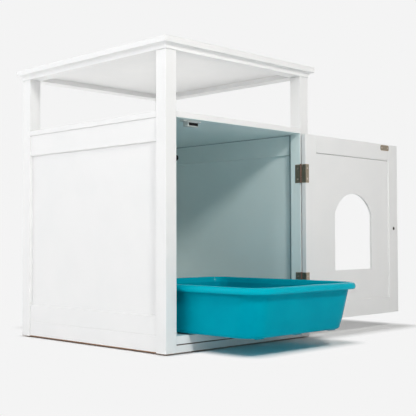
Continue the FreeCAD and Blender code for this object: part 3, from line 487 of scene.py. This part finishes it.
door_hinge = next(joint for joint in frame["joints"] if joint["name"] == "door_hinge")
opened = Matrix.Rotation(math.radians(-door_hinge["range_deg"][0]), 3, "Z")
door_inward = opened @ Vector((0, 1, 0))
strike_low, strike_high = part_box("strike_plate")
strike_place = seated((strike_low + strike_high) / 2 - door_inward * STRIKE_THICKNESS / 2, door_inward)
strike_edge = [(0, STRIKE_EDGE), (STRIKE_EDGE * 0.3, STRIKE_EDGE * 0.3), (STRIKE_EDGE, 0)]
strike_levels = [(0, 0)] + [(inset, STRIKE_THICKNESS - below) for inset, below in strike_edge]
strike_loops = [
    rounded_loop(STRIKE_WIDTH / 2 - inset, STRIKE_HEIGHT / 2 - inset, STRIKE_CORNER - inset, level)
    for inset, level in strike_levels]
strike_shell = bmesh.new()
skin(strike_shell, strike_loops)
strike_holes = bmesh.new()
for low, high in solids("strike_screws"):
    hole = bmesh.new()
    lathe(hole, [(0, 2 * STRIKE_THICKNESS), (2 * SCREW_HEAD - SCREW_SHANK, 2 * STRIKE_THICKNESS),
                 (SCREW_SHANK, 0), (SCREW_SHANK, -STRIKE_THICKNESS), (0, -STRIKE_THICKNESS)], HEAD_STEPS)
    spot = strike_place.inverted() @ ((low + high) / 2)
    bmesh.ops.translate(hole, verts=hole.verts, vec=(spot.x, spot.y, 0))
    hole_mesh = to_mesh("strike_hole", hole)
    strike_holes.from_mesh(hole_mesh)
    bpy.data.meshes.remove(hole_mesh)
strike_mesh = join_cut("strike_rounded", strike_shell, strike_holes)
strike_mesh.transform(strike_place)
strike_bronze = antique_bronze("strike_bronze", strike_low, strike_high, ALONG["x"])
strike = new_piece("strike_rounded", strike_mesh, strike_bronze)
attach(strike, "door")
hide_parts("strike_plate")

# Screws: small countersunk wood screws with a cross recess, bronzed on the hinges and strike and
# zinc plated on the catch. A larger blackened one holds the knob from the inner face of the door.
RECESS_SHARE = 0.62
RECESS_WIDTH = 0.2
RECESS_TAPER = 0.45
HEAD_RIM = 0.00012
LEAF_SINK = 0.0009
STRIKE_SINK = 0.0012
CATCH_SINK = 0.0014
CROWN = 0.0004
CATCH_CROWN = 0.0003
KNOB_SCREW_HEAD = 0.00425
KNOB_SCREW_SHANK = 0.002
KNOB_SCREW_SINK = 0.0009
KNOB_SCREW_CROWN = 0.0009


def cut_recess(head_radius, depth, top):
    """Cross recess: two crossed wedges that taper down into the head."""
    mesh = bmesh.new()
    reach = head_radius * RECESS_SHARE
    width = head_radius * RECESS_WIDTH
    for turn in (0, math.pi / 2):
        wedge = bmesh.ops.create_cube(mesh, size=1)["verts"]
        for vert in wedge:
            share = 1.0 if vert.co.z > 0 else RECESS_TAPER
            along, across = vert.co.x * 2 * reach * share, vert.co.y * 2 * width * share
            vert.co = Matrix.Rotation(turn, 3, "Z") @ Vector((along, across, 0))
            vert.co.z = top + depth * 0.2 if share == 1.0 else top - depth
    return mesh


def screw_mesh(name, head_radius, head_height, shank_radius, length, crown):
    """A wood screw with its head's face at height 0, its crown above it and its point below."""
    tip = -length + shank_radius * 1.6
    body = bmesh.new()
    lathe(body, [
        (0, crown), (head_radius * 0.55, crown * 0.8), (head_radius * 0.92, crown * 0.2),
        (head_radius, -HEAD_RIM), (shank_radius, -head_height), (shank_radius, tip), (0, -length),
    ], HEAD_STEPS)
    return join_cut(name, body, cut_recess(head_radius, head_height, crown))


def drive_screws(node, body, finish, facing, head_radius, head_height, shank_radius, crown):
    """Replace the screws of a CAD node by detailed ones that face the same way."""
    mesh = bmesh.new()
    for turn, (low, high) in enumerate(solids(node)):
        length = max(high - low) - crown
        screw = screw_mesh(node, head_radius, head_height, shank_radius, length, crown)
        seat = (low + high) / 2 + facing * (length - crown) / 2
        screw.transform(seated(seat, facing) @ Matrix.Rotation(0.7 + 1.1 * turn, 4, "Z"))
        mesh.from_mesh(screw)
        bpy.data.meshes.remove(screw)
    piece = new_piece(f"{node}_cross_head", to_mesh(node, mesh), finish)
    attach(piece, body)
    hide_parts(node)


bronze_screw = plated_steel("bronze_screw", (0.57, 0.49, 0.42), (0.40, 0.32, 0.26), 0.24)
black_screw = plated_steel("black_screw", (0.05, 0.05, 0.048), (0.03, 0.03, 0.03), 0.3)
drive_screws("hinge_post_screws", "cabinet", bronze_screw, Vector((-1, 0, 0)),
             SCREW_HEAD, LEAF_SINK, SCREW_SHANK, CROWN)
drive_screws("hinge_door_screws", "door", bronze_screw, door_inward,
             SCREW_HEAD, LEAF_SINK, SCREW_SHANK, CROWN)
drive_screws("strike_screws", "door", bronze_screw, door_inward,
             SCREW_HEAD, STRIKE_SINK, SCREW_SHANK, CROWN)
drive_screws("catch_screws", "cabinet", zinc, Vector((0, 0, -1)),
             SCREW_HEAD, CATCH_SINK, SCREW_SHANK, CATCH_CROWN)
drive_screws("knob_screw", "door", black_screw, door_inward,
             KNOB_SCREW_HEAD, KNOB_SCREW_SINK, KNOB_SCREW_SHANK, KNOB_SCREW_CROWN)

# Knob: turned from brass and bronzed, on a flared foot, with a shallow domed face.
# The screw through the latch stile draws its foot against the door's outer face.
KNOB_LINE = [
    (0.0085, 0), (0.0085, 0.0016), (0.0084, 0.002), (0.0066, 0.005), (0.0064, 0.007),
    (0.0066, 0.009), (0.0128, 0.0143), (0.0134, 0.0152), (0.0134, 0.018), (0.0131, 0.0188),
    (0.0101, 0.0218), (0.004, 0.0238), (0.0, 0.024),
]
KNOB_STEPS = 64


def soften(line, rounds):
    """Cut a line's corners again and again until it runs in smooth curves."""
    for _ in range(rounds):
        points = [line[0]]
        for start, end in zip(line, line[1:]):
            for share in (0.25, 0.75):
                points.append(tuple(a + (b - a) * share for a, b in zip(start, end)))
        line = points + [line[-1]]
    return line


knob_low, knob_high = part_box("door_knob")
door_outward = -door_inward
knob_height = KNOB_LINE[-1][1]
knob_seat = (knob_low + knob_high) / 2 - door_outward * knob_height / 2
knob_turned = bmesh.new()
lathe(knob_turned, [(0, 0)] + soften(KNOB_LINE, 2), KNOB_STEPS)
bmesh.ops.recalc_face_normals(knob_turned, faces=knob_turned.faces)
knob_mesh = to_mesh("knob_turned", knob_turned)
knob_mesh.transform(seated(knob_seat, door_outward))
knob_bronze = antique_bronze("knob_bronze", knob_low, knob_high, ALONG["x"])
knob = new_piece("knob_turned", knob_mesh, knob_bronze)
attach(knob, "door")
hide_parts("door_knob")

# Litter pan: one thin shell of teal polypropylene, with drafted walls, a lip rolled out and down
# and low pads under its base. It is injection moulded in a polished tool, so it is glossy.
PAN_CORNER = 0.052
LIP_WIDTH = 0.012
LIP_ROUND = 0.008
LIP_END = math.radians(-38)
PAN_WALL = 0.0024
SIDE_TAPER = 0.004
END_TAPER = 0.022
BASE_CORNER = 0.044
BASE_ROUND = 0.007
PAD_HEIGHT = 0.0022
PAD_LENGTH = 0.024
PAD_WIDTH = 0.010
PAD_INSET_X = 0.042
PAD_INSET_Y = 0.015
EASE = 0.0011
WALL_SHARES = (0.25, 0.5, 0.75, 0.94)
PAN_TEAL = (0.0, 0.352, 0.470)
PAN_DEEP = (0.0, 0.322, 0.440)
# PAN_LIP_HIGHLIGHT is a painted highlight: the lip drawn paler where it faces the lamps above.
PAN_LIP_HIGHLIGHT = (0.0, 0.425, 0.545)
PAN_SHEEN = (0.0, 0.8, 1.0)
LIP_FADE = (-0.013, -0.011)
SCOOP_FADE = (0.004, 0.03)

pan_low, pan_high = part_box("litter_pan")
pan_middle = (pan_low + pan_high) / 2
lip_x, lip_y = (pan_high.x - pan_low.x) / 2, (pan_high.y - pan_low.y) / 2
mouth_x, mouth_y = lip_x - LIP_WIDTH, lip_y - LIP_WIDTH
mouth_corner = PAN_CORNER - LIP_WIDTH
rim = pan_high.z
base = pan_low.z + PAD_HEIGHT


def wall_loop(share, inset, height):
    """The wall's outline at a share of the way from the base to the rim, drawn in by an inset."""
    half_x = mouth_x - SIDE_TAPER * (1 - share) - inset
    half_y = mouth_y - END_TAPER * (1 - share) - inset
    corner = BASE_CORNER + (mouth_corner - BASE_CORNER) * share - inset
    return rounded_loop(half_x, half_y, corner, height)


def lip_loop(inset, height):
    """The lip's outline, drawn in by an inset."""
    return rounded_loop(lip_x - inset, lip_y - inset, PAN_CORNER - inset, height)


def quarter_turn(steps):
    """Sine and rest of cosine through a quarter turn."""
    angles = [math.pi / 2 * k / steps for k in range(steps + 1)]
    return [(math.sin(angle), 1 - math.cos(angle)) for angle in angles]


wall_height = rim - base
pan_loops = [wall_loop(0, BASE_ROUND * (1 - out), base + BASE_ROUND * up) for out, up in quarter_turn(7)]
for share in WALL_SHARES:
    pan_loops.append(wall_loop(share, 0, base + wall_height * share))
under_lip = rim - PAN_WALL
under_share = 1 - PAN_WALL / wall_height
pan_loops += [wall_loop(under_share, -EASE * up, under_lip - EASE * (1 - out))
              for out, up in quarter_turn(3)]


def roll_loop(radius, turn, past=0.0):
    """A loop on the lip's roll, at a radius and a turn up from level, or past it along the roll."""
    outward = radius * math.cos(turn) + past * math.sin(turn)
    upward = radius * math.sin(turn) - past * math.cos(turn)
    return lip_loop(LIP_ROUND - outward, rim - LIP_ROUND + upward)


turns = [math.pi / 2 + (LIP_END - math.pi / 2) * k / 10 for k in range(11)]
pan_loops += [roll_loop(LIP_ROUND - PAN_WALL, turn) for turn in turns]
for k in range(1, 6):
    end = math.pi * k / 6
    inward = PAN_WALL / 2 * (1 + math.cos(end))
    pan_loops.append(roll_loop(LIP_ROUND - inward, LIP_END, PAN_WALL / 2 * math.sin(end)))
pan_loops += [roll_loop(LIP_ROUND, turn) for turn in reversed(turns)]
pan_loops += [wall_loop(1, PAN_WALL - 2 * EASE * (1 - out), rim - 2 * EASE * up)
              for out, up in quarter_turn(4)]
for share in reversed(WALL_SHARES):
    pan_loops.append(wall_loop(share, PAN_WALL, base + wall_height * share))
pan_loops += [wall_loop(0, PAN_WALL + BASE_ROUND * (1 - out), base + PAN_WALL + BASE_ROUND * up)
              for out, up in reversed(quarter_turn(7))]


def pad_loop(inset, height):
    """A foot pad's outline, drawn in by an inset."""
    corner = PAD_WIDTH / 2 - EASE - inset
    return rounded_loop(PAD_LENGTH / 2 - inset, PAD_WIDTH / 2 - inset, corner, height)


pan_shell = bmesh.new()
pan_offset = Vector((pan_middle.x, pan_middle.y, 0))
skin(pan_shell, pan_loops, pan_offset)
pad_x = mouth_x - SIDE_TAPER - PAD_INSET_X
pad_y = mouth_y - END_TAPER - PAD_INSET_Y
pad_loops = [pad_loop(EASE * (1 - out), pan_low.z + EASE * up) for out, up in quarter_turn(3)]
pad_loops.append(pad_loop(0, base + PAN_WALL / 2))
for side in (-1, 0, 1):
    for end in (-1, 0, 1):
        if side or end:
            skin(pan_shell, pad_loops, pan_offset + Vector((side * pad_x, end * pad_y, 0)))
bmesh.ops.recalc_face_normals(pan_shell, faces=pan_shell.faces)
pan_mesh = to_mesh("pan_shell", pan_shell)


def pan_plastic(name):
    """Glossy teal plastic that lets a little light through, paler on the lip as a painted highlight,
    scuffed at its bottom.
    """
    plastic = bpy.data.materials.new(name)
    start = shader_tree(plastic)
    place, height = part_place(start)
    cloud = place.noise(14, 3)
    flow = place.noise(60, 2, (1, 1, 0.2))
    scooped = 1 - height.step(base + SCOOP_FADE[0], base + SCOOP_FADE[1])
    scuff = place.noise(420, 4, (1, 0.12, 1)).step(0.62, 0.75) * scooped
    # The lip band is painted paler as a painted highlight, and the same band gets a thin clear coat.
    lip = height.step(rim + LIP_FADE[0], rim + LIP_FADE[1])
    surface(start, {
        "Base Color": lip.mix(cloud.step(0.3, 0.7).mix(PAN_TEAL, PAN_DEEP), PAN_LIP_HIGHLIGHT),
        "Roughness": 0.13 + 0.05 * flow + 0.25 * scuff,
        "Specular IOR Level": 0.02,
        "Specular Tint": PAN_SHEEN + (1,),
        "Subsurface Weight": 0.15,
        "Subsurface Radius": (0.2, 1.0, 1.0),
        "Subsurface Scale": 0.004,
        "Coat Weight": 0.06 * lip,
        "Coat Roughness": 0.12,
        "Normal": (flow + 0.3 * place.noise(1300)).bump(0.00003, 0.5),
    })
    return plastic


pan = new_piece("pan_shell", pan_mesh, pan_plastic("pan_plastic"), 50)
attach(pan, "pan")
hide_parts("litter_pan")

# Studio: a pale floor that keeps the shadow near the object and runs out to plain white, with a key
# and a low lamp in front, soft ones on the left and behind, and lamps that stand for the light which
# the white paper, the shelf and the glossy pan throw back.
BACK_WHITE = (0.905, 0.905, 0.905)
FLOOR_WHITE = (0.88, 0.88, 0.88)
ROOM_GLOW = 0.215
REAR_GLOW = 0.26
FLOOR_REACH = 8.0
SHADED = (
    ((-0.2273, -0.2540, 0), (0.2273, 0.2540, 0), (0.0, 0.02)),
    ((-0.0800, 0.1000, 0), (0.5600, 0.4000, 0), (0.0, 0.08)),
    ((-0.1050, -0.3730, 0), (0.1950, -0.2540, 0), (0.0, 0.06)),
    ((0.2000, -0.2700, 0), (0.6000, 0.1000, 0), (0.0, 0.07)),
)


def seen_directly(start):
    """One where a ray comes straight from the eye, a mirror or a clear piece."""
    eye, mirror, clear = (start.node("ShaderNodeLightPath", output=f"Is {kind} Ray")
                          for kind in ("Camera", "Glossy", "Transmission"))
    return eye.either(mirror).either(clear)


floor_mesh = bpy.data.meshes.new("floor")
floor_corners = [(x * FLOOR_REACH, y * FLOOR_REACH, 0) for x, y in ((-1, -1), (1, -1), (1, 1), (-1, 1))]
floor_mesh.from_pydata(floor_corners, [], [(0, 1, 2, 3)])
floor_finish = bpy.data.materials.new("studio_floor")
floor_start = shader_tree(floor_finish)
floor_place, _ = part_place(floor_start)
shade = within(floor_place, *SHADED[0])
for patch in SHADED[1:]:
    shade = shade.either(within(floor_place, *patch))
paper = floor_start.node("ShaderNodeBsdfDiffuse", {}, {"Color": FLOOR_WHITE + (1,)})
glow = floor_start.node("ShaderNodeEmission", {}, {"Color": BACK_WHITE + (1,)})
blend = floor_start.node("ShaderNodeMixShader", {}, {
    0: (1 - shade) * seen_directly(floor_start), 1: paper, 2: glow})
floor_start.node("ShaderNodeOutputMaterial", {}, {"Surface": blend})
floor_mesh.materials.append(floor_finish)
floor = bpy.data.objects.new("floor", floor_mesh)
bpy.context.scene.collection.objects.link(floor)

world = bpy.data.worlds.new("studio")
bpy.context.scene.world = world
world_start = shader_tree(world)
way = world_start.node("ShaderNodeTexCoord", output="Generated")
behind = way.node("ShaderNodeSeparateXYZ", {}, {"Vector": way}, "Y").step(-0.25, 0.25)
light = ROOM_GLOW + REAR_GLOW * behind
sky = seen_directly(world_start).mix(light, BACK_WHITE)
world_start.node("ShaderNodeOutputWorld", {}, {
    "Surface": world_start.node("ShaderNodeBackground", {}, {"Color": sky})})


def add_lamp(name, place, aim, width, height, watts, colour):
    """A soft rectangular lamp at a place, turned to face its aim."""
    lamp = bpy.data.lights.new(name, "AREA")
    lamp.shape = "RECTANGLE"
    lamp.size = width
    lamp.size_y = height
    lamp.energy = watts
    lamp.color = colour
    holder = bpy.data.objects.new(name, lamp)
    bpy.context.scene.collection.objects.link(holder)
    holder.location = place
    holder.rotation_euler = (Vector(aim) - Vector(place)).to_track_quat("-Z", "Y").to_euler()
    holder.visible_camera = False


WARM = (1.0, 0.99, 0.96)
COOL = (0.98, 0.985, 1.0)
TEAL = (0.02, 0.85, 1.0)
add_lamp("key_lamp", (-0.82, -2.08, 1.55), (0.1, -0.2, 0.25), 0.38, 0.38, 26.4, WARM)
add_lamp("low_lamp", (-0.3, -2.4, 0.25), (0.0, -0.2, 0.3), 1.6, 0.5, 2.2, WARM)
add_lamp("left_lamp", (-1.97, -0.63, 1.39), (0.0, -0.12, 0.3), 0.25, 0.25, 3.4, COOL)
add_lamp("left_fill", (-2.2, 0.15, 1.2), (0.0, -0.05, 0.3), 2.0, 1.6, 9.5, COOL)
add_lamp("rear_left_lamp", (-2.0, 1.5, 1.4), (0.0, 0.0, 0.35), 1.6, 1.2, 13.0, COOL)
add_lamp("back_lamp", (0.6, 2.6, 0.9), (0.1, 0.0, 0.4), 4.0, 1.8, 16.0, WARM)
add_lamp("front_board", (0.0, -1.5, 0.01), (0.0, -1.5, 1.0), 2.6, 1.6, 3.7, WARM)
add_lamp("back_board", (0.3, 1.3, 0.01), (0.3, 1.3, 1.0), 2.6, 1.6, 8.0, WARM)
add_lamp("shelf_bounce", (0.0, 0.0, 0.49), (0.0, 0.0, 1.0), 0.24, 0.30, 0.078, WARM)
add_lamp("pan_bounce", (0.0, -0.345, 0.036), (0.0, -0.345, 0.0), 0.26, 0.14, 0.007, TEAL)

# Camera: low in front of the cabinet's left front post and a little above the pan's rim.
# It looks along the diagonal, slightly up, through a lens that keeps the upright edges nearly upright.
CAMERA_PLACE = (-1.37791, -1.51497, 0.23121)
CAMERA_YAW = math.radians(45.19)
CAMERA_PITCH = math.radians(2.03)
CAMERA_ROLL = math.radians(-0.16)
camera = bpy.data.cameras.new("camera")
camera.lens = 74.57
camera.sensor_width = 36
camera.sensor_fit = "HORIZONTAL"
tripod = bpy.data.objects.new("camera", camera)
bpy.context.scene.collection.objects.link(tripod)
level_view = Matrix.Rotation(-CAMERA_YAW, 4, "Z") @ Matrix.Rotation(math.pi / 2 + CAMERA_PITCH, 4, "X")
tripod.matrix_world = Matrix.Translation(CAMERA_PLACE) @ level_view @ Matrix.Rotation(CAMERA_ROLL, 4, "Z")
bpy.context.scene.camera = tripod

bpy.context.scene.view_settings.view_transform = "Standard"
